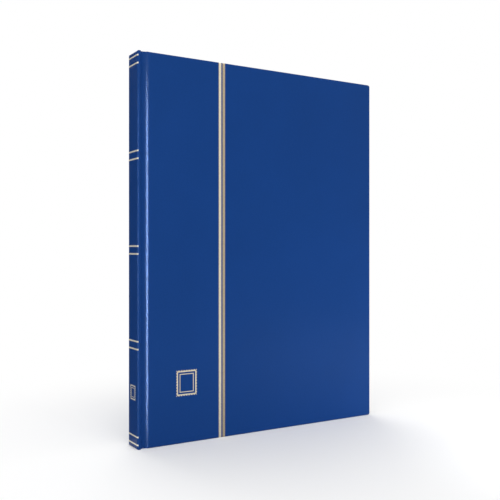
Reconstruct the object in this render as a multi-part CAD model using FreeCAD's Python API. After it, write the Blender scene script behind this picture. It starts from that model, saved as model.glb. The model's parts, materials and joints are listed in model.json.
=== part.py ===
import FreeCAD, Part
import math
import os

# A hard-cover stamp stockbook, closed and standing on its tail edge.
# Sizes are in millimetres. Z points up from tail to head, and Y from the front cover to the back cover.
# Along X every length here is measured from the outer face of the spine towards the fore-edge.
# The origin is under the middle of the closed album.

# Case: boards wrapped in leatherette
WIDTH = 230.0
HEIGHT = 305.0
BOARD = 2.2
SPINE_BOARD = 1.2
LEATHERETTE = 0.4
PASTEDOWN = 0.2
TURN_IN = 15.0
CORNER_RADIUS = 2.0
EDGE_RADIUS = 0.9
SPINE_LINING_MARGIN = 1.0

# Joint groove between the spine and each board
GROOVE_FLOOR_START = 4.4
GROOVE_FLOOR_WIDTH = 0.6
SHOULDER_START = 8.3
SHOULDER_END = 10.3
JOINT_LINEN_LAP = 11.5
JOINT_LINEN_FOOT = 0.7

# Leaf block
LEAF_COUNT = 8
LEAF_PITCH = 1.575
SQUARE = 3.5
CARD = 0.5
CARD_START = 19.5
INTERLEAF = 0.1
INTERLEAF_SETBACK = 1.5

# Linen hinge of each leaf
LINEN = 0.15
LINEN_LAP = 5.5
LINEN_TAPER = 2.0
LINEN_FOOT = 0.3
LINEN_FOOT_WIDTH = 1.1
FIRST_FOLD = 12.0
FOLD_STEP = 1.5
CREASE = 0.8

# Pocket strips on both sides of each leaf
STRIP_COUNT = 9
STRIP_HEIGHT = 25.0
FILM = 0.1
POCKET = 0.08
WELD = 2.5
STRIP_GUTTER_GAP = 1.5
STRIP_FORE_MARGIN = 4.0
STRIP_TAIL_MARGIN = 5.0
STRIP_HEAD_ROOM = 12.0

# Pressed foil
FOIL = 0.1
STRIPE_START = 70.5
STRIPE_WIDTH = 2.3
STRIPE_GAP = 1.2
BAND_PAIRS = 5
BAND_MARGIN = 6.5
BAND_SPREAD = 6.0
BAND_WIDTH = 1.2
BAND_WRAP_DEG = 60.0

# Sizes that follow from the ones above
COVER_BUILD = LEATHERETTE + BOARD + LEATHERETTE + PASTEDOWN
THICKNESS = 2 * COVER_BUILD + LEAF_COUNT * LEAF_PITCH
FACE_Y = -THICKNESS / 2
BOARD_OUT_Y = FACE_Y + LEATHERETTE
BOARD_IN_Y = BOARD_OUT_Y + BOARD
TURN_IN_Y = BOARD_IN_Y + LEATHERETTE
PASTEDOWN_Y = TURN_IN_Y + PASTEDOWN
SPINE_ROUND = LEATHERETTE + SPINE_BOARD
LINING_X = SPINE_ROUND + LEATHERETTE
LINING_HALF = THICKNESS / 2 - SPINE_LINING_MARGIN

# The groove is as deep as the board is thick, so its floor lies on the joint linen.
# On each side it runs down in two tangent arcs that turn by the same angle.
GROOVE_FLOOR_END = GROOVE_FLOOR_START + GROOVE_FLOOR_WIDTH
SPINE_SLOPE = 2 * math.atan2(BOARD, GROOVE_FLOOR_START - SPINE_ROUND)
SPINE_SLOPE_RADIUS = (GROOVE_FLOOR_START - SPINE_ROUND) / (2 * math.sin(SPINE_SLOPE))
BOARD_SLOPE = 2 * math.atan2(BOARD, SHOULDER_END - GROOVE_FLOOR_END)
SHOULDER_RADIUS = (SHOULDER_END - SHOULDER_START) / math.sin(BOARD_SLOPE)
BOARD_SLOPE_RADIUS = (SHOULDER_START - GROOVE_FLOOR_END) / math.sin(BOARD_SLOPE)
BOARD_EDGE = SHOULDER_END - (SHOULDER_RADIUS - LEATHERETTE) * math.sin(BOARD_SLOPE)

LEAF_END = WIDTH - SQUARE
LEAF_TOP = HEIGHT - SQUARE
WEB = 2 * LINEN
STRIP_START = CARD_START + LINEN_LAP + STRIP_GUTTER_GAP
STRIP_END = LEAF_END - STRIP_FORE_MARGIN
STRIP_FIRST = SQUARE + STRIP_TAIL_MARGIN
STRIP_PITCH = (LEAF_TOP - STRIP_HEAD_ROOM - STRIP_HEIGHT - STRIP_FIRST) / (STRIP_COUNT - 1)
BAND_PITCH = (HEIGHT - 2 * BAND_MARGIN) / (BAND_PAIRS - 1)

OUT = "parts"
TOUCH = 1e-4
QUARTER = math.pi / 2


def point(x, y, z=0.0):
    """A point, with x measured from the spine face."""
    return FreeCAD.Vector(x - WIDTH / 2, y, z)


def upright(x):
    """Points of the upright YZ plane at x."""
    return lambda y, z: point(x, y, z)


def facing(y):
    """Points of the upright XZ plane at y."""
    return lambda x, z: point(x, y, z)


def box(x, y, z):
    """A box from three (low, high) pairs."""
    return Part.makeBox(x[1] - x[0], y[1] - y[0], z[1] - z[0], point(x[0], y[0], z[0]))


def raised(edges, along):
    """A closed run of edges, filled and drawn out along a vector."""
    wire = Part.Wire(Part.__sortEdges__(edges))
    return Part.Face(wire).extrude(along)


def prism(edges, low, high):
    """A closed run of edges in the XY plane, raised from low to high."""
    solid = raised(edges, FreeCAD.Vector(0, 0, high - low))
    solid.translate(FreeCAD.Vector(0, 0, low))
    return solid


def line(start, end, place=point):
    """A straight edge between two spots of a plane."""
    return Part.makeLine(place(*start), place(*end))


def outline(corners):
    """Straight edges round a list of (x, y) corners."""
    return [line(a, b) for a, b in zip(corners, corners[1:] + corners[:1])]


def on_circle(centre, radius, angle):
    """A spot on a circle, with the angle in radians."""
    return (centre[0] + radius * math.cos(angle), centre[1] + radius * math.sin(angle))


def arc(centre, radius, start, end, place=point):
    """An arc edge about centre, between two angles in radians."""
    spots = [on_circle(centre, radius, a) for a in (start, (start + end) / 2, end)]
    return Part.Arc(*[place(*spot) for spot in spots]).toShape()


def rounded(corners, radii, place=point):
    """A closed outline through the corners, each rounded by its own radius."""
    edges = []
    stops = []
    for before, here, after, radius in zip(corners[-1:] + corners, corners, corners[1:] + corners[:1], radii):
        here = FreeCAD.Vector(*here, 0)
        back = (FreeCAD.Vector(*before, 0) - here).normalize()
        ahead = (FreeCAD.Vector(*after, 0) - here).normalize()
        half = back.getAngle(ahead) / 2
        middle = here + (back + ahead).normalize() * (radius / math.sin(half) - radius)
        spots = [here + back * (radius / math.tan(half)), middle, here + ahead * (radius / math.tan(half))]
        spots = [place(spot.x, spot.y) for spot in spots]
        if radius:
            edges.append(Part.Arc(*spots).toShape())
        stops.append((spots[0], spots[2]))
    for (_, leave), (arrive, _) in zip(stops, stops[1:] + stops[:1]):
        if leave.distanceToPoint(arrive) > TOUCH:
            edges.append(Part.makeLine(leave, arrive))
    return edges


def mirrored(shape):
    """The same piece on the other side of the album."""
    return shape.mirror(FreeCAD.Vector(0, 0, 0), FreeCAD.Vector(0, 1, 0))


def export(name, *solids):
    """Write one node, as a solid or as a group of separate solids."""
    shape = solids[0] if len(solids) == 1 else Part.makeCompound(list(solids))
    shape.exportStep(os.path.join(OUT, name + ".step"))


def shoulder_low(inset):
    """Where the shoulder's arc ends above the groove, at the given depth in the skin."""
    centre = (SHOULDER_END, FACE_Y + SHOULDER_RADIUS)
    return on_circle(centre, SHOULDER_RADIUS - inset, -QUARTER - BOARD_SLOPE)


def cover_panel(inset, inner_y, edge_radius, hinge_corners):
    """A cover's form, drawn in by inset from the outer skin, with its shoulder over the groove."""
    shoulder = SHOULDER_RADIUS - inset
    shoulder_x = SHOULDER_END - shoulder * math.tan(BOARD_SLOPE / 2)
    fore = WIDTH - inset
    face = FACE_Y + inset
    tail = inset
    head = HEIGHT - inset
    corners = [(shoulder_x, face), (fore, face), (fore, inner_y), (BOARD_EDGE, inner_y)]
    corners += hinge_corners + [shoulder_low(inset)]
    radii = [shoulder, edge_radius, edge_radius] + [0] * (len(corners) - 3)
    panel = prism(rounded(corners, radii), tail, head)

    edge_view = [(face, tail), (inner_y, tail), (inner_y, head), (face, head)]
    edge_bar = raised(rounded(edge_view, [edge_radius] * 4, upright(0)), FreeCAD.Vector(WIDTH, 0, 0))
    front_view = [(0, tail), (fore, tail), (fore, head), (0, head)]
    corner_radius = CORNER_RADIUS - inset
    front_edges = rounded(front_view, [0, corner_radius, corner_radius, 0], facing(face))
    front_plate = raised(front_edges, FreeCAD.Vector(0, inner_y - face, 0))
    return panel.common(edge_bar).common(front_plate)


def stripe_band(x, depth, proud=0.0):
    """A band down the front face and round its head and tail edges, from proud of the skin to depth in it."""
    place = upright(x)
    centre_y = FACE_Y + EDGE_RADIUS
    tail = (centre_y, EDGE_RADIUS)
    head = (centre_y, HEIGHT - EDGE_RADIUS)
    edges = []
    for inset in (-proud, depth):
        radius = EDGE_RADIUS - inset
        edges.append(arc(tail, radius, -2 * QUARTER, -QUARTER, place))
        edges.append(line((centre_y - radius, tail[1]), (centre_y - radius, head[1]), place))
        edges.append(arc(head, radius, QUARTER, 2 * QUARTER, place))
    outer = EDGE_RADIUS + proud
    inner = EDGE_RADIUS - depth
    edges.append(line((centre_y, tail[1] - outer), (centre_y, tail[1] - inner), place))
    edges.append(line((centre_y, head[1] + outer), (centre_y, head[1] + inner), place))
    return raised(edges, FreeCAD.Vector(STRIPE_WIDTH, 0, 0))


def build_covers():
    """Boards, their leatherette with turn-ins, the front foil stripes and the pastedowns."""
    board = cover_panel(LEATHERETTE, BOARD_IN_Y, 0, [])
    skin = cover_panel(0, TURN_IN_Y, EDGE_RADIUS, [shoulder_low(LEATHERETTE)])
    window_y = (BOARD_IN_Y, TURN_IN_Y + LEATHERETTE)
    window = box((0, WIDTH - TURN_IN), window_y, (TURN_IN, HEIGHT - TURN_IN))
    leatherette = skin.cut(board).cut(window)
    stripe_starts = [STRIPE_START + i * (STRIPE_WIDTH + STRIPE_GAP) for i in range(2)]
    stripes = [stripe_band(x, FOIL) for x in stripe_starts]
    recesses = [stripe_band(x, FOIL, proud=LEATHERETTE) for x in stripe_starts]

    sheet_x = (SHOULDER_END, LEAF_END)
    sheet_z = (SQUARE, LEAF_TOP)
    sunk_x = (BOARD_EDGE + JOINT_LINEN_LAP, WIDTH - TURN_IN)
    sunk_z = (TURN_IN, HEIGHT - TURN_IN)
    rim = box(sheet_x, (TURN_IN_Y, PASTEDOWN_Y), sheet_z)
    sunk = box(sunk_x, (BOARD_IN_Y, PASTEDOWN_Y), sunk_z)
    dish_x = (sunk_x[0] + PASTEDOWN, sunk_x[1] - PASTEDOWN)
    dish_z = (sunk_z[0] + PASTEDOWN, sunk_z[1] - PASTEDOWN)
    dish = box(dish_x, (BOARD_IN_Y + PASTEDOWN, PASTEDOWN_Y), dish_z)
    pastedown = rim.fuse(sunk).removeSplitter().cut(dish)

    export("front_board", board)
    export("front_leatherette", leatherette.cut(recesses))
    export("front_foil_stripes", *stripes)
    export("front_pastedown", pastedown)
    export("back_board", mirrored(board))
    export("back_leatherette", mirrored(leatherette))
    export("back_pastedown", mirrored(pastedown))


def groove_run(inset):
    """The groove's section line, from the spine to the shoulder, at the given depth in the skin."""
    floor_y = FACE_Y + BOARD + inset
    spine_centre = (SPINE_ROUND, FACE_Y + SPINE_SLOPE_RADIUS)
    spine_foot = (GROOVE_FLOOR_START, FACE_Y + BOARD - SPINE_SLOPE_RADIUS)
    board_foot = (GROOVE_FLOOR_END, FACE_Y + BOARD - BOARD_SLOPE_RADIUS)
    return [
        arc(spine_centre, SPINE_SLOPE_RADIUS - inset, -QUARTER, SPINE_SLOPE - QUARTER),
        arc(spine_foot, SPINE_SLOPE_RADIUS + inset, QUARTER + SPINE_SLOPE, QUARTER),
        line((GROOVE_FLOOR_START, floor_y), (GROOVE_FLOOR_END, floor_y)),
        arc(board_foot, BOARD_SLOPE_RADIUS + inset, QUARTER, QUARTER - BOARD_SLOPE),
    ]


def build_joints():
    """The leatherette that dips into each groove, and the linen that joins board to spine inside."""
    spine_end = line((SPINE_ROUND, FACE_Y), (SPINE_ROUND, BOARD_OUT_Y))
    board_end = line(shoulder_low(0.0), shoulder_low(LEATHERETTE))
    gutter = prism(groove_run(0.0) + groove_run(LEATHERETTE) + [spine_end, board_end], 0.0, HEIGHT)

    lap_end = BOARD_EDGE + JOINT_LINEN_LAP
    foot_x = LINING_X + LEATHERETTE
    foot_y = BOARD_IN_Y + JOINT_LINEN_FOOT
    section = [(LINING_X, BOARD_IN_Y), (lap_end, BOARD_IN_Y), (lap_end, TURN_IN_Y)]
    section += [(foot_x, TURN_IN_Y), (foot_x, foot_y), (LINING_X, foot_y)]
    linen = prism(outline(section), TURN_IN, HEIGHT - TURN_IN)

    export("front_joint", gutter)
    export("front_joint_linen", linen)
    export("back_joint", mirrored(gutter))
    export("back_joint_linen", mirrored(linen))


def spine_run(inset, wrap):
    """The spine's section line at the given depth in the skin, with both corners turned by an angle."""
    radius = SPINE_ROUND - inset
    side = THICKNESS / 2 - SPINE_ROUND
    return [
        arc((SPINE_ROUND, -side), radius, 2 * QUARTER, 2 * QUARTER + wrap),
        line((inset, -side), (inset, side)),
        arc((SPINE_ROUND, side), radius, 2 * QUARTER, 2 * QUARTER - wrap),
    ]


def spine_strip(inset):
    """The spine's rounded strip, drawn in by inset from the outer skin."""
    half = THICKNESS / 2 - inset
    back = line((SPINE_ROUND, half), (SPINE_ROUND, -half))
    return prism(spine_run(inset, QUARTER) + [back], inset, HEIGHT - inset)


def spine_skin():
    """The spine's outer form, with its face rounded off at head and tail."""
    corners = [(0, 0), (SPINE_ROUND, 0), (SPINE_ROUND, HEIGHT), (0, HEIGHT)]
    radii = [EDGE_RADIUS, 0, 0, EDGE_RADIUS]
    bar = raised(rounded(corners, radii, facing(FACE_Y)), FreeCAD.Vector(0, THICKNESS, 0))
    return spine_strip(0).common(bar)


def spine_band(depth, proud, low, high):
    """A band across the spine and round its corners, from proud of the skin to depth in it."""
    wrap = math.radians(BAND_WRAP_DEG)
    edges = spine_run(-proud, wrap) + spine_run(depth, wrap)
    side = THICKNESS / 2 - SPINE_ROUND
    for sign in (-1, 1):
        centre = (SPINE_ROUND, sign * side)
        angle = 2 * QUARTER - sign * wrap
        near = on_circle(centre, SPINE_ROUND + proud, angle)
        edges.append(line(near, on_circle(centre, SPINE_ROUND - depth, angle)))
    return prism(edges, low, high)


def build_spine():
    """Spine board, its leatherette with turn-ins, the pressed bands and the linen lining."""
    board = spine_strip(LEATHERETTE)
    skin = spine_skin()
    lining_y = (-LINING_HALF, LINING_HALF)
    lining_x = (SPINE_ROUND, LINING_X)
    tail = box(lining_x, lining_y, (0.0, TURN_IN))
    head = box(lining_x, lining_y, (HEIGHT - TURN_IN, HEIGHT))
    heights = [BAND_MARGIN + i * BAND_PITCH for i in range(BAND_PAIRS)]
    spans = []
    for z in heights:
        spans.append((z - BAND_SPREAD / 2 - BAND_WIDTH / 2, z - BAND_SPREAD / 2 + BAND_WIDTH / 2))
        spans.append((z + BAND_SPREAD / 2 - BAND_WIDTH / 2, z + BAND_SPREAD / 2 + BAND_WIDTH / 2))
    bands = [spine_band(FOIL, 0.0, low, high) for low, high in spans]
    recesses = [spine_band(FOIL, LEATHERETTE, low, high) for low, high in spans]
    leatherette = skin.cut(board).fuse([tail, head]).removeSplitter().cut(recesses)
    lining = box(lining_x, lining_y, (TURN_IN, HEIGHT - TURN_IN))

    export("spine_board", board)
    export("spine_leatherette", leatherette)
    export("spine_foil_bands", *bands)
    export("spine_lining", lining)


def pocket_strip(z):
    """One clear strip on the front of a card at Y = 0: welded along its foot and ends, open at the top."""
    card_y = -CARD / 2
    film = box((STRIP_START, STRIP_END), (card_y - POCKET - FILM, card_y), (z, z + STRIP_HEIGHT))
    pocket_x = (STRIP_START + WELD, STRIP_END - WELD)
    pocket = box(pocket_x, (card_y - POCKET, card_y), (z + WELD, z + STRIP_HEIGHT))
    return film.cut(pocket)


def leaf_hinge(fold):
    """Two linens that grip the card's margin, run together to the spine and end in a glued foot."""
    grip = CARD / 2 + LINEN
    web = WEB / 2
    foot = LINEN_FOOT_WIDTH / 2
    lap_end = CARD_START + LINEN_LAP
    side = [
        (LINING_X, foot),
        (LINING_X + LINEN_FOOT, foot),
        (LINING_X + LINEN_FOOT, web),
        (fold - CREASE / 2, web),
        (fold, web / 2),
        (fold + CREASE / 2, web),
        (CARD_START - LINEN_TAPER, web),
        (CARD_START, grip),
        (lap_end, grip),
        (lap_end, CARD / 2),
        (CARD_START, CARD / 2),
    ]
    other = [(x, -y) for x, y in reversed(side)]
    return prism(outline(side + other), SQUARE, LEAF_TOP)


def build_leaf(number, y, fold):
    """One card leaf with its pocket strips and its linen hinge."""
    name = "leaf_%d" % number
    card = box((CARD_START, LEAF_END), (-CARD / 2, CARD / 2), (SQUARE, LEAF_TOP))
    front = [pocket_strip(STRIP_FIRST + i * STRIP_PITCH) for i in range(STRIP_COUNT)]
    strips = front + [mirrored(strip) for strip in front]
    hinge = leaf_hinge(fold)
    for solid in [card, hinge] + strips:
        solid.translate(FreeCAD.Vector(0, y, 0))
    export(name, card)
    export(name + "_strips", *strips)
    export(name + "_hinge", hinge)


def build_interleaf(number, y):
    """One glassine sheet between two leaves, and the margin by which it bends at the spine."""
    name = "interleaf_%d" % number
    thick = (y - INTERLEAF / 2, y + INTERLEAF / 2)
    tall = (SQUARE + INTERLEAF_SETBACK, LEAF_TOP - INTERLEAF_SETBACK)
    export(name, box((CARD_START, LEAF_END - INTERLEAF_SETBACK), thick, tall))
    export(name + "_margin", box((LINING_X, CARD_START), thick, tall))


def build_block():
    """The leaves from front to back, with an interleaf in each gap."""
    for number in range(1, LEAF_COUNT + 1):
        y = PASTEDOWN_Y + (number - 0.5) * LEAF_PITCH
        steps_in = min(number, LEAF_COUNT + 1 - number) - 1
        build_leaf(number, y, FIRST_FOLD + steps_in * FOLD_STEP)
        if number < LEAF_COUNT:
            build_interleaf(number, y + LEAF_PITCH / 2)


os.makedirs(OUT, exist_ok=True)
build_spine()
build_joints()
build_covers()
build_block()
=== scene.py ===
import json
import math

import bmesh
import bpy
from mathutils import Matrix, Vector, noise
from mathutils.geometry import tessellate_polygon

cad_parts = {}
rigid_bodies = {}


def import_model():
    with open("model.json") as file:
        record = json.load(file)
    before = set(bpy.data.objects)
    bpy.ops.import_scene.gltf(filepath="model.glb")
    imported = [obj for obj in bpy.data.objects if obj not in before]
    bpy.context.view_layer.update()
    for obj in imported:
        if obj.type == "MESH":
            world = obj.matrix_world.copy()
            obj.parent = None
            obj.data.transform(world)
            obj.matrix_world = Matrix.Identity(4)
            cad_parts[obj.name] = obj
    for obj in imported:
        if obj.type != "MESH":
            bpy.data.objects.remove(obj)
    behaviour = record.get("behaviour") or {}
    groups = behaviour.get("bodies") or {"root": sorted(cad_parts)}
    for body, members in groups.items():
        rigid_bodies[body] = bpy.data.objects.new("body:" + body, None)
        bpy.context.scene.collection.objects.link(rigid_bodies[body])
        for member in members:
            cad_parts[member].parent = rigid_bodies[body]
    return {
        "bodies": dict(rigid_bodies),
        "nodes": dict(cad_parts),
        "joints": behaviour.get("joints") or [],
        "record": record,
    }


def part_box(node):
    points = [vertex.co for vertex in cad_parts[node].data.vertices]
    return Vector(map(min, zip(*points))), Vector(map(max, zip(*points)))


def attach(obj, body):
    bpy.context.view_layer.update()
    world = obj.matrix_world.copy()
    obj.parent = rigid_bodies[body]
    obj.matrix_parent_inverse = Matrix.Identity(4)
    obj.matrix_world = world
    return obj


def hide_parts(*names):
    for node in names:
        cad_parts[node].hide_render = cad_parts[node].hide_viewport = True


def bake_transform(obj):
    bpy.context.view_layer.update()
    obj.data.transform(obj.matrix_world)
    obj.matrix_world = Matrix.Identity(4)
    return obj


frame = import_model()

# A closed stamp stockbook in blue leatherette, dressed over its solids, in metres.
# Here x is measured from the spine's outer face towards the fore-edge, depth from a cover's outer face
# inwards, and z up from the tail. Side is -1 on the front of the album and 1 on the back.
MM = 0.001
FRONT = -1
BACK = 1
SIDES = {"front": FRONT, "back": BACK}
QUARTER = math.pi / 2

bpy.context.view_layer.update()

# Sizes read from the solids
spine_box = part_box("spine_leatherette")
cover_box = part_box("front_leatherette")
board_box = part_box("front_board")
joint_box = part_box("front_joint")
lining_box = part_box("spine_lining")
stripe_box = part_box("front_foil_stripes")
joint_linen_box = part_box("front_joint_linen")
SPINE_X = spine_box[0].x
HALF = spine_box[1].y
HEIGHT = spine_box[1].z
WIDTH = cover_box[1].x - SPINE_X
LEATHERETTE = board_box[0].y - cover_box[0].y
BOARD = board_box[1].y - board_box[0].y
COVER_DEPTH = cover_box[1].y - cover_box[0].y
SPINE_ROUND = joint_box[0].x - SPINE_X
SHOULDER_START = cover_box[0].x - SPINE_X
SHOULDER_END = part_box("front_pastedown")[0].x - SPINE_X
LINING_X = lining_box[1].x - SPINE_X
LEAF_COUNT = len([body for body in frame["bodies"] if body.startswith("leaf_")])
AXES = {joint["child"]: Vector(joint["pos_m"]) for joint in frame["joints"]}

# Sizes of the case that its boxes don't show
GROOVE_FLOOR_START = 4.4 * MM
GROOVE_FLOOR_END = 5.0 * MM
EDGE_RADIUS = 0.9 * MM
CORNER_RADIUS = 2.0 * MM
TURN_IN = 15.0 * MM

# The groove's sides are two tangent arcs each, as in the solids.
SPINE_SLOPE = 2 * math.atan2(BOARD, GROOVE_FLOOR_START - SPINE_ROUND)
SPINE_SLOPE_RADIUS = (GROOVE_FLOOR_START - SPINE_ROUND) / (2 * math.sin(SPINE_SLOPE))
BOARD_SLOPE = 2 * math.atan2(BOARD, SHOULDER_END - GROOVE_FLOOR_END)
SHOULDER_RADIUS = (SHOULDER_END - SHOULDER_START) / math.sin(BOARD_SLOPE)
BOARD_SLOPE_RADIUS = (SHOULDER_START - GROOVE_FLOOR_END) / math.sin(BOARD_SLOPE)
SHOULDER_DEPTH = SHOULDER_RADIUS * (1 - math.cos(BOARD_SLOPE))
BOARD_EDGE = SHOULDER_START + LEATHERETTE * math.sin(BOARD_SLOPE)

# Hand-made unevenness of the skin
BOARD_WAVE = 0.05 * MM
BOARD_WAVE_LENGTH = 70 * MM
RIPPLE = 0.10 * MM
RIPPLE_LENGTH = 26 * MM
RIPPLE_CENTRE = 8.0 * MM
RIPPLE_REACH = 6.0 * MM
NOISE_OFFSET = 0.37

# Pressed foil lines
PRESS = 0.06 * MM
PRESS_SOFT = 0.25 * MM
FOIL = 0.1 * MM
FOIL_LIFT = 0.015 * MM
STRIPE_WIDTH = 2.3 * MM
STRIPE_STARTS = [stripe_box[0].x - SPINE_X, stripe_box[1].x - SPINE_X - STRIPE_WIDTH]
BAND_PAIRS = 5
BAND_WIDTH = 1.2 * MM
BAND_SPREAD = 6.0 * MM
BAND_WRAP = math.radians(60)

# Blank stamps in foil: teeth across and up, their pitch, the bites between them and the border's line.
# The frame inside is set in from the bites and drawn in shares of that line.
FRONT_STAMP = {"across": 8, "up": 9, "pitch": 2.25 * MM, "bite": 0.62 * MM, "line": 0.85 * MM}
SPINE_STAMP = {"across": 6, "up": 7, "pitch": 1.65 * MM, "bite": 0.45 * MM, "line": 0.62 * MM}
FRONT_STAMP_X = 41.5 * MM
FRONT_STAMP_Z = 47.5 * MM
SPINE_STAMP_Z = 42.5 * MM
FRAME_INSET = 2.6
FRAME_LINE = 0.7

# Linen hinge of each leaf
LINEN_THICK = 0.15 * MM
LINEN_LAP = 5.5 * MM
LINEN_TAPER = 2.0 * MM
LINEN_FOOT = 0.3 * MM
LINEN_FOOT_WIDTH = 1.1 * MM
LEAF_BEND = 2.2 * MM

# How finely the pieces are divided, how far in from a cover's edges its columns still shift to meet them,
# and up to which angle, in degrees, a piece is shaded smooth
WELD_GRID = 0.0005 * MM
ROW_STEP = 4.0 * MM
COLUMN_STEP = 8.0 * MM
HINGE_COLUMNS = (1.0 * MM, 2.5 * MM, 5.0 * MM)
FORE_COLUMNS = (1.0 * MM, 3.0 * MM)
CORNER_STEPS = 4
TURN_STEPS = 6
SLOPE_STEPS = 10
LINING_STEPS = 24
LINING_ROWS = 8
STRIPE_STEPS = 4
BAND_STEPS = 2
BITE_STEPS = 6
WEB_STEPS = 2
FOLD_STEPS = 16
HINGE_ROWS = 4
SHEET_STEPS = 10
SHEET_ROWS = 12
SETTLE = 10.0 * MM
SMOOTH_ANGLE = 40
STAMP_ANGLE = 30
HINGE_ANGLE = 25


def place(x, depth, z, side):
    """A point from its length along the cover, its depth below the outer face and its height."""
    return Vector((SPINE_X + x, side * (HALF - depth), z))


def smooth(low, high, value):
    """0 before low, 1 after high, with a smooth step between."""
    t = min(1.0, max(0.0, (value - low) / (high - low)))
    return t * t * (3 - 2 * t)


def steps(start, end, count):
    """Evenly spaced values from start to end, both included."""
    return [start + (end - start) * i / count for i in range(count + 1)]


# Mesh helpers


def add_piece(name, points, faces, material, slot, smooth_angle=SMOOTH_ANGLE):
    """A closed mesh piece at the origin: smooth up to an angle, with one material; slot is not used."""
    mesh = bpy.data.meshes.new(name)
    mesh.from_pydata(points, [], faces)
    body = bmesh.new()
    body.from_mesh(mesh)
    bmesh.ops.remove_doubles(body, verts=body.verts, dist=WELD_GRID)
    loose = [point for point in body.verts if not point.link_faces]
    bmesh.ops.delete(body, geom=loose, context="VERTS")
    bmesh.ops.recalc_face_normals(body, faces=body.faces)
    body.to_mesh(mesh)
    body.free()
    mesh.shade_smooth()
    mesh.set_sharp_from_angle(angle=math.radians(smooth_angle))
    mesh.materials.append(material)
    piece = bpy.data.objects.new(name, mesh)
    bpy.context.scene.collection.objects.link(piece)
    return piece


def join(points, faces, more_points, more_faces):
    """Adds one closed part to the points and faces of a piece."""
    faces += [[len(points) + corner for corner in face] for face in more_faces]
    points += more_points


def shell(outer, inner):
    """Points and faces of a closed thin piece between two grids with the same rows and columns."""
    rows, columns = len(outer), len(outer[0])
    points = [point for row in outer + inner for point in row]

    def index(layer, row, column):
        return (layer * rows + row) * columns + column

    faces = []
    for layer in (0, 1):
        for r in range(rows - 1):
            for c in range(columns - 1):
                corners = [(r, c), (r, c + 1), (r + 1, c + 1), (r + 1, c)]
                faces.append([index(layer, *corner) for corner in corners])
    rim = [(0, c) for c in range(columns)] + [(r, columns - 1) for r in range(1, rows)]
    rim += [(rows - 1, c) for c in range(columns - 2, -1, -1)] + [(r, 0) for r in range(rows - 2, 0, -1)]
    for here, after in zip(rim, rim[1:] + rim[:1]):
        faces.append([index(0, *here), index(0, *after), index(1, *after), index(1, *here)])
    return points, faces


def weld(points, faces):
    """Faces with each corner moved to the first point at its place, less corners that fall together."""
    first = {}
    kept = []
    for i, point in enumerate(points):
        spot = tuple(round(v / WELD_GRID) for v in point)
        kept.append(first.setdefault(spot, i))
    welded = []
    for face in faces:
        corners = list(dict.fromkeys(kept[corner] for corner in face))
        if len(corners) > 2:
            welded.append(corners)
    return welded


def two_sided(outer, inner, faces):
    """Points and faces of a closed skin between two sets of points that share their faces."""
    uses = {}
    for face in faces:
        for here, after in zip(face, face[1:] + face[:1]):
            uses.setdefault(frozenset((here, after)), []).append((here, after))
    shift = len(outer)
    closed = faces + [[corner + shift for corner in reversed(face)] for face in faces]
    for edges in uses.values():
        if len(edges) == 1:
            here, after = edges[0]
            closed.append([after, here, here + shift, after + shift])
    return outer + inner, closed


# Material helpers

# Most values of a noise lie between these.
NOISE_LOW = 0.3
NOISE_HIGH = 0.7


def add_node(tree, kind, inputs=None, **settings):
    """A shader node, with settings by name and inputs given as values or as sockets to link."""
    node = tree.nodes.new(kind)
    for key, value in settings.items():
        setattr(node, key, value)
    for key, value in (inputs or {}).items():
        if isinstance(value, bpy.types.NodeSocket):
            tree.links.new(value, node.inputs[key])
        else:
            node.inputs[key].default_value = value
    return node


def math_node(tree, operation, *values):
    """The result of a sum on values or sockets."""
    return add_node(tree, "ShaderNodeMath", dict(enumerate(values)), operation=operation).outputs[0]


def new_material(name, constants):
    """A material with its tree, its Principled shader with constant inputs, and rest coordinates."""
    material = bpy.data.materials.new(name)
    material.use_nodes = True
    tree = material.node_tree
    shader = tree.nodes["Principled BSDF"]
    for key, value in constants.items():
        shader.inputs[key].default_value = value
    where = add_node(tree, "ShaderNodeTexCoord").outputs["Object"]
    return material, tree, shader, where


def noise_value(tree, where, size, detail=3.0, roughness=0.55):
    """Noise with features of about the given size, in metres."""
    inputs = {"Vector": where, "Scale": 1 / size, "Detail": detail, "Roughness": roughness}
    return add_node(tree, "ShaderNodeTexNoise", inputs).outputs["Fac"]


def spread(tree, value, low, high):
    """A noise value spread over a range."""
    inputs = {"Value": value, "From Min": NOISE_LOW, "From Max": NOISE_HIGH, "To Min": low, "To Max": high}
    return add_node(tree, "ShaderNodeMapRange", inputs).outputs["Result"]


def colours(tree, value, dark, light):
    """A colour between dark and light, by a noise value."""
    ramp = add_node(tree, "ShaderNodeValToRGB", {"Fac": value})
    ends = zip(ramp.color_ramp.elements, (NOISE_LOW, NOISE_HIGH), (dark, light))
    for element, position, colour in ends:
        element.position = position
        element.color = (*colour, 1)
    return ramp.outputs["Color"]


def bump(tree, shader, height, depth):
    """Relief of the given depth, in metres, from a height between 0 and 1."""
    node = add_node(tree, "ShaderNodeBump", {"Height": height, "Distance": depth, "Strength": 1.0})
    tree.links.new(node.outputs["Normal"], shader.inputs["Normal"])


# Materials, with colours in linear red, green and blue

BLUE_DARK = (0.0046, 0.0385, 0.176)
BLUE_LIGHT = (0.0058, 0.0445, 0.205)
BLUE_GLOSS = (0.55, 0.74, 0.97, 1)
TONE_SHARE = 0.9
PEBBLE = 0.7 * MM
PEBBLE_SHARE = 0.8
THREAD = 0.45 * MM


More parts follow.
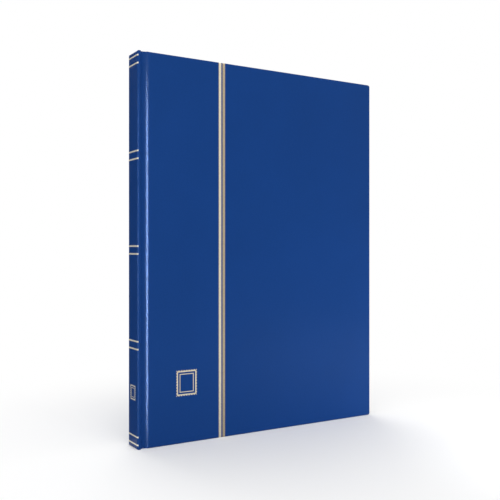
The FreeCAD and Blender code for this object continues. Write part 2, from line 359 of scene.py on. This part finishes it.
def leatherette_material():
    """Blue leatherette with a fine pebbled grain, satin, with slow changes of tone."""
    constants = {"Specular IOR Level": 0.12, "Specular Tint": BLUE_GLOSS}
    material, tree, shader, where = new_material("blue_leatherette", constants)
    tone = noise_value(tree, where, 60 * MM)
    speck = noise_value(tree, where, 1.6 * MM)
    mixed = math_node(tree, "MULTIPLY_ADD", tone, TONE_SHARE, speck)
    evened = math_node(tree, "DIVIDE", mixed, 1 + TONE_SHARE)
    tree.links.new(colours(tree, evened, BLUE_DARK, BLUE_LIGHT), shader.inputs["Base Color"])
    tree.links.new(spread(tree, tone, 0.30, 0.37), shader.inputs["Roughness"])
    cells = {"Vector": where, "Scale": 1 / PEBBLE, "Randomness": 0.9}
    pebble = add_node(tree, "ShaderNodeTexVoronoi", cells, feature="SMOOTH_F1").outputs["Distance"]
    fine = noise_value(tree, where, PEBBLE / 2)
    bump(tree, shader, math_node(tree, "MULTIPLY_ADD", pebble, PEBBLE_SHARE, fine), 0.02 * MM)
    return material


def foil_material(name, dark, light, roughness, metallic):
    """Pressed pale gold foil, with the grain under it and small worn specks."""
    material, tree, shader, where = new_material(name, {"Metallic": metallic})
    worn = noise_value(tree, where, 0.8 * MM, 4)
    tree.links.new(colours(tree, worn, dark, light), shader.inputs["Base Color"])
    tree.links.new(spread(tree, worn, roughness + 0.08, roughness - 0.06), shader.inputs["Roughness"])
    bump(tree, shader, noise_value(tree, where, 0.5 * MM), 0.008 * MM)
    return material


def paper_material(name, dark, light, roughness, fibre, relief):
    """Paper or card: short fibres in tone and relief."""
    material, tree, shader, where = new_material(name, {})
    fibres = noise_value(tree, where, fibre, 5, 0.65)
    tree.links.new(colours(tree, fibres, dark, light), shader.inputs["Base Color"])
    tree.links.new(spread(tree, fibres, roughness - 0.05, roughness + 0.08), shader.inputs["Roughness"])
    bump(tree, shader, fibres, relief)
    return material


def linen_material():
    """Black book linen in plain weave."""
    material, tree, shader, where = new_material("black_linen", {"Roughness": 0.8, "Sheen Weight": 0.25})
    # At a scale of 1 the wave texture repeats every tenth of pi.
    wave_scale = math.pi / 10 / THREAD
    inputs = {"Vector": where, "Scale": wave_scale, "Distortion": 0.6, "Detail": 1.0}
    threads = []
    for direction in ("X", "Z"):
        wave = add_node(tree, "ShaderNodeTexWave", inputs, bands_direction=direction)
        threads.append(wave.outputs["Fac"])
    weave = math_node(tree, "MAXIMUM", *threads)
    black = colours(tree, weave, (0.006, 0.006, 0.007), (0.03, 0.03, 0.033))
    tree.links.new(black, shader.inputs["Base Color"])
    bump(tree, shader, weave, 0.06 * MM)
    return material


def film_material():
    """Clear pocket film: thin, glossy, with faint ripples."""
    constants = {"Base Color": (0.96, 0.98, 1.0, 1), "Transmission Weight": 1.0, "IOR": 1.45}
    material, tree, shader, where = new_material("clear_film", constants)
    waves = noise_value(tree, where, 18 * MM, 2)
    tree.links.new(spread(tree, waves, 0.04, 0.09), shader.inputs["Roughness"])
    bump(tree, shader, waves, 0.15 * MM)
    return material


def glassine_material():
    """Translucent glassine with cloudy fibres."""
    material, tree, shader, where = new_material("glassine", {"Sheen Weight": 0.1})
    cloud = noise_value(tree, where, 5 * MM, 5, 0.65)
    grey = colours(tree, cloud, (0.70, 0.69, 0.64), (0.80, 0.79, 0.74))
    tree.links.new(grey, shader.inputs["Base Color"])
    tree.links.new(spread(tree, cloud, 0.50, 0.62), shader.inputs["Alpha"])
    tree.links.new(spread(tree, cloud, 0.34, 0.28), shader.inputs["Roughness"])
    bump(tree, shader, noise_value(tree, where, 12 * MM, 3), 0.12 * MM)
    return material


LEATHER = leatherette_material()
FOIL_BRIGHT = foil_material("pale_gold_foil", dark=(0.62, 0.54, 0.38), light=(0.78, 0.71, 0.54),
                            roughness=0.34, metallic=1.0)
# The pale gold foil again in darker colours, for the second line on the front.
FOIL_DARKER_COPY = foil_material("darker_copy_gold_foil", dark=(0.36, 0.29, 0.19), light=(0.48, 0.40, 0.28),
                            roughness=0.38, metallic=1.0)
FOIL_SPINE = foil_material("satin_gold_foil", dark=(0.70, 0.65, 0.52), light=(0.86, 0.81, 0.68),
                           roughness=0.42, metallic=0.3)
GREYBOARD = paper_material("greyboard", dark=(0.17, 0.15, 0.12), light=(0.27, 0.24, 0.20),
                           roughness=0.85, fibre=1.2 * MM, relief=0.05 * MM)
ENDPAPER = paper_material("black_endpaper", dark=(0.008, 0.008, 0.009), light=(0.014, 0.014, 0.015),
                          roughness=0.62, fibre=1.0 * MM, relief=0.02 * MM)
CARD = paper_material("black_card", dark=(0.007, 0.007, 0.008), light=(0.013, 0.013, 0.014),
                      roughness=0.66, fibre=0.7 * MM, relief=0.02 * MM)
LINEN = linen_material()
FILM = film_material()
GLASSINE = glassine_material()


# Case: cover skins


def ripple(x, z, side):
    """How far the skin stands proud: slow waves in the board and a ripple along the groove's shoulder."""
    spot = Vector((x, z, side * WIDTH))
    slow = BOARD_WAVE * noise.noise(spot / BOARD_WAVE_LENGTH + Vector((NOISE_OFFSET,) * 3))
    along = Vector((NOISE_OFFSET, z / RIPPLE_LENGTH, side + NOISE_OFFSET))
    near = max(0.0, 1 - abs(x - RIPPLE_CENTRE) / RIPPLE_REACH)
    proud = slow * smooth(SPINE_ROUND, SHOULDER_END, x) + RIPPLE * near * noise.noise(along)
    return proud * smooth(0, 2 * CORNER_RADIUS, min(z, HEIGHT - z, WIDTH - x))


def pressed(x, side):
    """How deep the skin is pressed in under the front foil lines."""
    if side == BACK:
        return 0.0
    share = 0.0
    for start in STRIPE_STARTS:
        end = start + STRIPE_WIDTH
        share += smooth(start - PRESS_SOFT, start, x) - smooth(end, end + PRESS_SOFT, x)
    return PRESS * share


def skin_point(x, depth, z, side):
    """A point of a cover's skin, with its unevenness and the pressed lines."""
    return place(x, depth - ripple(x, z, side) + pressed(x, side), z, side)


def edge_levels(thick):
    """(inset, depth) steps from the flat face, round the board's edge, to the end of the turn-in.

    thick is the depth in the skin. The first list also runs along the groove, the second stops there.
    """
    bend = EDGE_RADIUS - thick
    low = math.acos(1 - SHOULDER_DEPTH / EDGE_RADIUS)
    turns = steps(0, QUARTER, TURN_STEPS)[:-1] + [low]
    over = [(EDGE_RADIUS - bend * math.sin(a), EDGE_RADIUS - bend * math.cos(a)) for a in turns]
    under_centre = COVER_DEPTH - EDGE_RADIUS
    under = [(EDGE_RADIUS - bend * math.cos(a), under_centre + bend * math.sin(a))
             for a in steps(0, QUARTER, TURN_STEPS)]
    side = [(thick, EDGE_RADIUS), (thick, SHOULDER_DEPTH + LEATHERETTE)]
    return [(CORNER_RADIUS, thick)] + over, side + under + [(TURN_IN, COVER_DEPTH - thick)]


def shoulder_spot(level, thick):
    """Where the skin meets the groove's shoulder: the level's place on the shoulder's arc, then its end."""
    closed, _ = edge_levels(0.0)
    depth = closed[min(level, len(closed) - 1)][1]
    turn = math.acos(1 - depth / SHOULDER_RADIUS)
    radius = SHOULDER_RADIUS - thick
    x = SHOULDER_END - radius * math.sin(turn)
    if level >= len(closed):
        x = BOARD_EDGE
    return x, SHOULDER_RADIUS - radius * math.cos(turn)


def skin_columns(side):
    """Lengths along the face at which the skin is divided, with lines beside each foil stripe."""
    fore = WIDTH - CORNER_RADIUS
    columns = set(steps(SHOULDER_END, fore, round((WIDTH - SHOULDER_END) / COLUMN_STEP)))
    columns |= {SHOULDER_END + offset for offset in HINGE_COLUMNS}
    columns |= {fore - offset for offset in FORE_COLUMNS}
    if side == FRONT:
        for start in STRIPE_STARTS:
            for edge in (start, start + STRIPE_WIDTH):
                columns |= {edge - PRESS_SOFT, edge, edge + PRESS_SOFT}
    return sorted(columns)


def cover_loop(inset, depth, groove, columns, rows, side):
    """Points round a cover at one level: tail edge, fore-edge, head edge, then back down the groove."""
    radius = max(CORNER_RADIUS - inset, 0.0)
    start, end = groove[0], WIDTH - inset - radius
    hinge_shift, fore_shift = start - columns[0], end - columns[-1]
    lengths = []
    for x in columns:
        near_hinge = max(0.0, 1 - (x - columns[0]) / SETTLE)
        near_fore = max(0.0, 1 - (columns[-1] - x) / SETTLE)
        lengths.append(x + hinge_shift * near_hinge + fore_shift * near_fore)
    turns = steps(0, QUARTER, CORNER_STEPS + 1)[1:-1]
    low, high = inset + radius, HEIGHT - inset - radius
    spots = [(x, depth, inset) for x in lengths]
    spots += [(end + radius * math.sin(a), depth, low - radius * math.cos(a)) for a in turns]
    spots += [(WIDTH - inset, depth, low + f * (high - low)) for f in rows]
    spots += [(end + radius * math.cos(a), depth, high + radius * math.sin(a)) for a in turns]
    spots += [(x, depth, HEIGHT - inset) for x in reversed(lengths)]
    spots += [(*groove, inset + f * (HEIGHT - 2 * inset)) for f in reversed(rows[1:-1])]
    return [skin_point(*spot, side) for spot in spots]


def skin_points(thick, columns, rows, side):
    """All points of a cover's skin at a depth in it: the edge levels, then the flat face."""
    closed, open_levels = edge_levels(thick)
    points = []
    for level, (inset, depth) in enumerate(closed + open_levels):
        points += cover_loop(inset, depth, shoulder_spot(level, thick), columns, rows, side)
    flat_height = HEIGHT - 2 * CORNER_RADIUS
    for x in columns:
        points += [skin_point(x, thick, CORNER_RADIUS + f * flat_height, side) for f in rows]
    return points


def cover_skin(name, side):
    """Leatherette over one cover: shoulder, face, rounded edges and turn-ins."""
    columns = skin_columns(side)
    rows = steps(0, 1, round(HEIGHT / ROW_STEP))
    outer = skin_points(0.0, columns, rows, side)
    inner = skin_points(LEATHERETTE, columns, rows, side)
    closed, open_levels = edge_levels(0.0)
    count = 2 * len(columns) + 2 * len(rows) + 2 * CORNER_STEPS - 2
    along_groove = len(rows) - 1
    faces = []
    for level in range(len(closed) + len(open_levels) - 1):
        shown = count if level + 1 < len(closed) else count - along_groove
        for k in range(shown):
            here, after = level * count + k, level * count + (k + 1) % count
            faces.append([here, after, after + count, here + count])
    first = count * len(closed + open_levels)
    for c in range(len(columns) - 1):
        for r in range(len(rows) - 1):
            here = first + c * len(rows) + r
            faces.append([here, here + len(rows), here + len(rows) + 1, here + 1])
    return add_piece(name, *two_sided(outer, inner, weld(outer, faces)), LEATHER, "leatherette")


for word, side in SIDES.items():
    skin = cover_skin(word + "_cover_skin", side)
    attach(skin, word + "_cover")
    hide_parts(word + "_leatherette")


# Case: joints


def arc_points(centre, radius, start, end):
    """Points of an arc, as (length, depth) pairs."""
    turns = steps(start, end, SLOPE_STEPS)
    return [(centre[0] + radius * math.cos(a), centre[1] + radius * math.sin(a)) for a in turns]


def groove_line(inset):
    """The groove's section from the spine's edge to the shoulder, at a depth in the skin."""
    spine_centre = (SPINE_ROUND, SPINE_SLOPE_RADIUS)
    spine_foot = (GROOVE_FLOOR_START, BOARD - SPINE_SLOPE_RADIUS)
    board_foot = (GROOVE_FLOOR_END, BOARD - BOARD_SLOPE_RADIUS)
    dip = arc_points(spine_centre, SPINE_SLOPE_RADIUS - inset, -QUARTER, SPINE_SLOPE - QUARTER)
    floor = arc_points(spine_foot, SPINE_SLOPE_RADIUS + inset, QUARTER + SPINE_SLOPE, QUARTER)
    rise = arc_points(board_foot, BOARD_SLOPE_RADIUS + inset, QUARTER, QUARTER - BOARD_SLOPE)
    return dip + floor[1:] + rise


def upright_grid(line, rows, side, proud=None):
    """A grid of points: a section line raised through the given heights, standing proud where asked."""
    grid = []
    for x, depth in line:
        lifts = [proud(x, z, side) if proud else 0.0 for z in rows]
        grid.append([place(x, depth - lift, z, side) for z, lift in zip(rows, lifts)])
    return grid


def joint_skin(name, side):
    """The leatherette that dips into the groove between spine and board."""
    rows = [f * HEIGHT for f in steps(0, 1, round(HEIGHT / ROW_STEP))]
    outer = upright_grid(groove_line(0.0), rows, side, ripple)
    inner = upright_grid(groove_line(LEATHERETTE), rows, side, ripple)
    return add_piece(name, *shell(outer, inner), LEATHER, "leatherette")


def joint_lining(name, side):
    """The linen behind the groove, from its foot on the spine lining to its lap under the endpaper."""
    low, high = joint_linen_box[0], joint_linen_box[1]
    outer_depth, foot_depth = low.y + HALF, high.y + HALF
    inner_depth = COVER_DEPTH
    foot_end = LINING_X + LEATHERETTE
    lap_end = high.x - SPINE_X
    lengths = [foot_end] + steps(LINING_X + 2 * LEATHERETTE, BOARD_EDGE, LINING_STEPS) + [lap_end]
    rows = steps(low.z, high.z, LINING_ROWS)
    outer_line = [(LINING_X, foot_depth), (LINING_X, outer_depth)] + [(x, outer_depth) for x in lengths]
    inner_line = [(foot_end, foot_depth), (foot_end, inner_depth)] + [(x, inner_depth) for x in lengths]
    outer = upright_grid(outer_line, rows, side)
    inner = upright_grid(inner_line, rows, side)
    return add_piece(name, *shell(outer, inner), LINEN, "linen")


for word, side in SIDES.items():
    crease = AXES[word + "_cover"]
    skin = joint_skin(word + "_joint_skin", side)
    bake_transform(skin)
    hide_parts(word + "_joint")
    lining = joint_lining(word + "_joint_lining", side)
    foot = crease.copy()
    foot.x = SPINE_X + LINING_X + LEATHERETTE
    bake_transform(lining)
    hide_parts(word + "_joint_linen")


# Pressed foil on the front and the spine


def stripe_path():
    """Points up the front face and round its head and tail edges: height, depth and outward direction."""
    tail = []
    for a in steps(QUARTER, 0, TURN_STEPS):
        spot = (EDGE_RADIUS * (1 - math.sin(a)), EDGE_RADIUS * (1 - math.cos(a)))
        tail.append((*spot, -math.sin(a), -math.cos(a)))
    heights = steps(EDGE_RADIUS, HEIGHT - EDGE_RADIUS, round(HEIGHT / ROW_STEP))
    middle = [(z, 0.0, 0.0, -1.0) for z in heights]
    head = [(HEIGHT - z, depth, -up, out) for z, depth, up, out in reversed(tail)]
    return tail[:-1] + middle + head[1:]


def foil_stripes(name):
    """The two pressed lines of the front cover as one piece, the second in a darker copy of the same foil.
    """
    points, faces = [], []
    for start in STRIPE_STARTS:
        grids = []
        for lift in (FOIL_LIFT, -FOIL):
            grid = []
            for z, depth, up, out in stripe_path():
                proud = Vector((0, -FRONT * out * lift, up * lift))
                lengths = steps(start, start + STRIPE_WIDTH, STRIPE_STEPS)
                grid.append([skin_point(x, depth, z, FRONT) + proud for x in lengths])
            grids.append(grid)
        join(points, faces, *shell(*grids))
    stripes = add_piece(name, points, faces, FOIL_BRIGHT, "gold_foil")
    stripes.data.materials.append(FOIL_DARKER_COPY)
    split_x = SPINE_X + (STRIPE_STARTS[0] + STRIPE_STARTS[1] + STRIPE_WIDTH) / 2
    for polygon in stripes.data.polygons:
        polygon.material_index = int(polygon.center.x > split_x)
    return stripes


def spine_path():
    """Points across the spine from edge to edge: length, width and outward direction."""
    centre = HALF - SPINE_ROUND
    corner = []
    for a in steps(0, BAND_WRAP, TURN_STEPS):
        spot = (SPINE_ROUND * (1 - math.cos(a)), centre + SPINE_ROUND * math.sin(a))
        corner.append((*spot, -math.cos(a), math.sin(a)))
    low = [(x, -y, out, -across) for x, y, out, across in reversed(corner)]
    return low + corner


def spine_lines(name):
    """The five pairs of pressed lines across the spine, as one piece."""
    low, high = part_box("spine_foil_bands")
    first = low.z + BAND_WIDTH / 2
    last = high.z - BAND_WIDTH / 2 - BAND_SPREAD
    points, faces = [], []
    for pair_z in steps(first, last, BAND_PAIRS - 1):
        for middle in (pair_z, pair_z + BAND_SPREAD):
            heights = steps(middle - BAND_WIDTH / 2, middle + BAND_WIDTH / 2, BAND_STEPS)
            grids = []
            for lift in (FOIL_LIFT, -FOIL):
                spots = [(SPINE_X + x + out * lift, y + across * lift) for x, y, out, across in spine_path()]
                grids.append([[Vector((*spot, z)) for z in heights] for spot in spots])
            join(points, faces, *shell(*grids))
    return add_piece(name, points, faces, FOIL_SPINE, "gold_foil")


def rectangle(width, height, inset=0.0):
    """The corners about the origin of a rectangle drawn in by inset."""
    u, v = width / 2 - inset, height / 2 - inset
    return [(-u, -v), (u, -v), (u, v), (-u, v)]


def perforated(stamp):
    """The outline of a stamp about the origin: a run of half-round bites along each edge."""
    pitch, bite = stamp["pitch"], stamp["bite"]
    corners = rectangle(stamp["across"] * pitch, stamp["up"] * pitch)
    ways = ((1, 0), (0, 1), (-1, 0), (0, -1))
    counts = (stamp["across"], stamp["up"]) * 2
    outline = []
    for (x, z), along, count in zip(corners, ways, counts):
        inward = (-along[1], along[0])
        outline.append((x, z))
        for tooth in range(count):
            middle = (tooth + 0.5) * pitch
            for a in steps(math.pi, 0, BITE_STEPS):
                run, dip = middle + bite * math.cos(a), bite * math.sin(a)
                outline.append((x + along[0] * run + inward[0] * dip, z + along[1] * run + inward[1] * dip))
    return outline


def foil_emblem(name, stamp, spot, material):
    """A blank stamp in foil: a perforated border and a thin frame in it. spot lifts (u, v) off the skin."""
    width, height = stamp["across"] * stamp["pitch"], stamp["up"] * stamp["pitch"]
    bite, line = stamp["bite"], stamp["line"]
    frame_start = bite + FRAME_INSET * line
    frame_end = frame_start + FRAME_LINE * line
    rings = [
        (perforated(stamp), rectangle(width, height, bite + line)),
        (rectangle(width, height, frame_start), rectangle(width, height, frame_end)),
    ]
    points, faces = [], []
    for outer, hole in rings:
        flat = [[Vector((u, v, 0)) for u, v in ring] for ring in (outer, hole)]
        count = len(outer) + len(hole)
        ring_points = [spot(u, v, lift) for lift in (FOIL_LIFT, -FOIL) for u, v in outer + hole]
        ring_faces = []
        for triangle in tessellate_polygon(flat):
            ring_faces.append(list(triangle))
            ring_faces.append([count + corner for corner in triangle])
        for start, size in ((0, len(outer)), (len(outer), len(hole))):
            for k in range(size):
                here, after = start + k, start + (k + 1) % size
                ring_faces.append([here, after, after + count, here + count])
        join(points, faces, ring_points, ring_faces)
    return add_piece(name, points, faces, material, "gold_foil", STAMP_ANGLE)


def front_spot(u, v, lift):
    """A spot of the front emblem on the front cover's skin."""
    on_skin = skin_point(FRONT_STAMP_X + u, 0.0, FRONT_STAMP_Z + v, FRONT)
    return on_skin + Vector((0, FRONT * lift, 0))


def spine_spot(u, v, lift):
    """A spot of the small emblem on the spine's face."""
    return Vector((SPINE_X - lift, -u, SPINE_STAMP_Z + v))


stripes = foil_stripes("front_foil_lines")
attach(stripes, "front_cover")
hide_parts("front_foil_stripes")
front_emblem = foil_emblem("front_foil_emblem", FRONT_STAMP, front_spot, FOIL_BRIGHT)
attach(front_emblem, "front_cover")
bands = spine_lines("spine_foil_lines")
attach(bands, "spine")
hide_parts("spine_foil_bands")
spine_emblem = foil_emblem("spine_foil_emblem", SPINE_STAMP, spine_spot, FOIL_SPINE)
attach(spine_emblem, "spine")


# Leaf block: linen hinges and interleaves, divided finely at their folds


def leaf_hinge(number):
    """Two linens of one leaf: glued foot, web with its fold, and the laps that grip the card."""
    name = "leaf_%d" % number
    card_low, card_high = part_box(name)
    axis = AXES[name]
    card_start = card_low.x - SPINE_X
    card_half = (card_high.y - card_low.y) / 2
    fold = axis.x - SPINE_X
    foot_end = LINING_X + LINEN_FOOT
    lap_end = card_start + LINEN_LAP
    web = steps(foot_end, fold - LEAF_BEND, WEB_STEPS)
    web += steps(fold - LEAF_BEND, fold + LEAF_BEND, FOLD_STEPS)[1:]
    web += [card_start - LINEN_TAPER]
    half = [(LINING_X, LINEN_FOOT_WIDTH / 2), (foot_end, LINEN_FOOT_WIDTH / 2)]
    half += [(x, LINEN_THICK) for x in web]
    half += [(card_start, card_half + LINEN_THICK), (lap_end, card_half + LINEN_THICK)]
    half += [(lap_end, card_half), (card_start, card_half)]
    ring = half + [(x, -y) for x, y in reversed(half)]
    heights = steps(card_low.z, card_high.z, HINGE_ROWS)
    points = [Vector((SPINE_X + x, axis.y + y, z)) for z in heights for x, y in ring]
    count = len(ring)
    faces = []
    for level in range(len(heights) - 1):
        for k in range(count):
            here, after = level * count + k, level * count + (k + 1) % count
            faces.append([here, after, after + count, here + count])
    # Head and tail are closed by the foot, the web in strips, the taper and the two laps.
    mirror = [count - 1 - k for k in range(len(half))]
    lap = list(range(len(half) - 4, len(half)))
    taper = lap[0] - 1
    caps = [[0, 1, 2, mirror[2], mirror[1], mirror[0]]]
    caps += [[k, k + 1, mirror[k + 1], mirror[k]] for k in range(2, taper)]
    caps.append([taper, lap[0], lap[-1], mirror[lap[-1]], mirror[lap[0]], mirror[taper]])
    caps += [lap, [mirror[k] for k in lap]]
    for first in (0, (len(heights) - 1) * count):
        faces += [[first + k for k in cap] for cap in caps]
    return add_piece(name + "_linen", points, faces, LINEN, "linen", HINGE_ANGLE)


def interleaf_sheet(number):
    """One glassine sheet with its margin, divided finely about its fold."""
    name = "interleaf_%d" % number
    low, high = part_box(name)
    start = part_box(name + "_margin")[0].x
    fold = AXES[name].x
    lengths = [start] + steps(fold - LEAF_BEND, fold + LEAF_BEND, FOLD_STEPS)
    lengths += steps(low.x, high.x, SHEET_STEPS)
    heights = steps(low.z, high.z, SHEET_ROWS)
    grids = [[[Vector((x, y, z)) for z in heights] for x in lengths] for y in (low.y, high.y)]
    return add_piece(name + "_sheet", *shell(*grids), GLASSINE, "glassine")


for number in range(1, LEAF_COUNT + 1):
    name = "leaf_%d" % number
    hinge = leaf_hinge(number)
    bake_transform(hinge)
    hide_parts(name + "_hinge")
    if number < LEAF_COUNT:
        name = "interleaf_%d" % number
        sheet = interleaf_sheet(number)
        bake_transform(sheet)
        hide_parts(name, name + "_margin")


# Finishes of the solids that stay in view

FINISHES = {
    "leatherette": LEATHER,
    "greyboard": GREYBOARD,
    "gold_foil": FOIL_BRIGHT,
    "endpaper": ENDPAPER,
    "linen": LINEN,
    "page_card": CARD,
    "clear_film": FILM,
    "glassine": GLASSINE,
}
for subpart in frame["record"]["subparts"]:
    solid = frame["nodes"][subpart["node"]]
    solid.data.materials.clear()
    solid.data.materials.append(FINISHES[subpart["material_slot"]])


# Floor, light and camera

FLOOR_REACH = 6.0
FLOOR_LIGHT = (0.94, 0.94, 0.94)
FLOOR_DARK = (0.9259, 0.9259, 0.9259)
FLOOR_CLOUD = 0.5
FADE_START = 0.06
FADE_END = 0.36
FLAG_FAR = ((-0.42, 0.24), (-0.14, 0.36))
FLAG_NEAR = ((-0.40, -0.02), (-0.12, 0.02))
FLAG_LIFT = 0.5 * MM
FLAG_HEIGHT = 0.5
WORLD_LEVEL = 0.35
STRIP_SPOT = (-0.1944, -0.0575, 0.147)
STRIP_AIM = (-0.107, -0.009, 0.147)
STRIP_SIZE = (0.028, 0.288)
STRIP_SPREAD = math.radians(50)
EYE_AZIMUTH = math.radians(-32)
EYE_TURN = math.radians(0.72)
EYE_DISTANCE = 0.620
EYE_HEIGHT = 0.1525
LENS = 52.2
SENSOR = 36.0


def add_stage(name, corners, faces, material):
    """A flat piece of the set, which isn't part of the album."""
    mesh = bpy.data.meshes.new(name)
    mesh.from_pydata(corners, [], faces)
    mesh.materials.append(material)
    piece = bpy.data.objects.new(name, mesh)
    bpy.context.scene.collection.objects.link(piece)
    return piece


def seen_rays(tree):
    """1 for what the eye sees straight, in gloss or through film, 0 for light that falls on the album."""
    rays = add_node(tree, "ShaderNodeLightPath")
    seen = rays.outputs["Is Camera Ray"]
    for kind in ("Is Glossy Ray", "Is Transmission Ray"):
        seen = math_node(tree, "MAXIMUM", seen, rays.outputs[kind])
    return seen


def floor_material():
    """A pale floor that shows shadows near the album and fades to white further off."""
    constants = {"Roughness": 0.9, "Specular IOR Level": 0.1}
    material, tree, shader, where = new_material("pale_floor", constants)
    cloud = noise_value(tree, where, FLOOR_CLOUD)
    tree.links.new(colours(tree, cloud, FLOOR_DARK, FLOOR_LIGHT), shader.inputs["Base Color"])
    away = add_node(tree, "ShaderNodeVectorMath", {0: where}, operation="LENGTH").outputs["Value"]
    inputs = {"Value": away, "From Min": FADE_START, "From Max": FADE_END}
    fade = add_node(tree, "ShaderNodeMapRange", inputs, interpolation_type="SMOOTHSTEP").outputs["Result"]
    share = math_node(tree, "MULTIPLY", fade, seen_rays(tree))
    white = add_node(tree, "ShaderNodeEmission").outputs["Emission"]
    mix = add_node(tree, "ShaderNodeMixShader", {0: share, 1: shader.outputs["BSDF"], 2: white})
    tree.links.new(mix.outputs["Shader"], tree.nodes["Material Output"].inputs["Surface"])
    return material


def flag_material():
    """Dark matt card."""
    constants = {"Specular IOR Level": 0.0, "Roughness": 1.0}
    material, tree, shader, where = new_material("dark_card", constants)
    cloth = noise_value(tree, where, 2 * MM)
    dark = colours(tree, cloth, (0.010, 0.012, 0.016), (0.014, 0.016, 0.020))
    tree.links.new(dark, shader.inputs["Base Color"])
    return material


def add_floor():
    """A wide pale floor under the album."""
    reach = FLOOR_REACH
    corners = [(-reach, -reach, 0), (reach, -reach, 0), (reach, reach, 0), (-reach, reach, 0)]
    floor = add_stage("floor", corners, [(0, 1, 2, 3)], floor_material())


def add_flag():
    """Dark cards beyond and below the spine, seen only in gloss, which keep the white room off its face."""
    far_left, far_right = FLAG_FAR
    near_left, near_right = FLAG_NEAR
    corners = [(*far_left, FLAG_LIFT), (*far_right, FLAG_LIFT)]
    corners += [(*far_right, FLAG_HEIGHT), (*far_left, FLAG_HEIGHT)]
    corners += [(*near_left, FLAG_LIFT), (*near_right, FLAG_LIFT)]
    flag = add_stage("flag", corners, [(0, 1, 2, 3), (4, 5, 1, 0)], flag_material())
    flag.visible_camera = False
    flag.visible_diffuse = False
    flag.visible_shadow = False


def add_lamp(name, spot, aim, size, power, gloss=True, gloss_on=()):
    """A soft box that looks from its spot to its aim.

    Without gloss it makes no reflections. With gloss_on it makes nothing but gloss on those pieces.
    """
    data = bpy.data.lights.new(name, "AREA")
    data.shape = "RECTANGLE"
    data.size, data.size_y = size
    data.energy = power
    lamp = bpy.data.objects.new(name, data)
    lamp.location = spot
    lamp.rotation_mode = "QUATERNION"
    lamp.rotation_quaternion = (Vector(aim) - Vector(spot)).to_track_quat("-Z", "Y")
    lamp.visible_camera = False
    lamp.visible_glossy = gloss
    bpy.context.scene.collection.objects.link(lamp)
    if gloss_on:
        data.spread = STRIP_SPREAD
        lamp.visible_diffuse = False
        pieces = bpy.data.collections.new(name + "_pieces")
        for piece in gloss_on:
            pieces.objects.link(bpy.data.objects[piece])
        lamp.light_linking.receiver_collection = pieces


def add_world():
    """Even white surroundings: white to the eye and in reflections, and dimmer as light on the album."""
    world = bpy.data.worlds.new("studio")
    bpy.context.scene.world = world
    world.use_nodes = True
    tree = world.node_tree
    inputs = {"Value": seen_rays(tree), "To Min": WORLD_LEVEL, "To Max": 1.0}
    strength = add_node(tree, "ShaderNodeMapRange", inputs)
    sky = tree.nodes["Background"]
    sky.inputs["Color"].default_value = (1, 1, 1, 1)
    tree.links.new(strength.outputs["Result"], sky.inputs["Strength"])


def add_camera():
    """The eye at the photograph's angle, level, at about half the album's height."""
    data = bpy.data.cameras.new("eye")
    data.lens = LENS
    data.sensor_width = SENSOR
    camera = bpy.data.objects.new("eye", data)
    centre = Vector((0, 0, EYE_HEIGHT))
    away = Vector((math.sin(EYE_AZIMUTH), -math.cos(EYE_AZIMUTH), 0))
    camera.location = centre + EYE_DISTANCE * away
    camera.rotation_mode = "QUATERNION"
    aim = EYE_AZIMUTH + EYE_TURN
    camera.rotation_quaternion = Vector((-math.sin(aim), math.cos(aim), 0)).to_track_quat("-Z", "Y")
    bpy.context.scene.collection.objects.link(camera)
    bpy.context.scene.camera = camera


add_floor()
add_flag()
add_world()
add_lamp("key", spot=(-0.25, -0.95, 1.05), aim=(0, 0, 0.10), size=(1.0, 1.0), power=7.6)
add_lamp("fill", spot=(-1.2, -0.5, 0.8), aim=(0, 0, 0.15), size=(0.8, 0.8), power=2.5)
add_lamp("top", spot=(0, -0.1, 1.3), aim=(0, 0, 0), size=(1.4, 1.4), power=4.5)
add_lamp("back_fill", spot=(0.2, 1.2, 1.1), aim=(0, 0, 0.15), size=(1.2, 1.2), power=11)
add_lamp("low_fill", spot=(0.20, -0.20, 0.03), aim=(0.06, 0, 0.02), size=(0.24, 0.05), power=0.2,
         gloss=False)
add_lamp("groove_strip", STRIP_SPOT, STRIP_AIM, STRIP_SIZE, power=0.28,
         gloss_on=("front_cover_skin", "front_joint_skin"))
add_lamp("edge_strip", STRIP_SPOT, STRIP_AIM, STRIP_SIZE, power=0.06, gloss_on=("spine_leatherette",))
add_camera()
bpy.context.scene.view_settings.view_transform = "Standard"
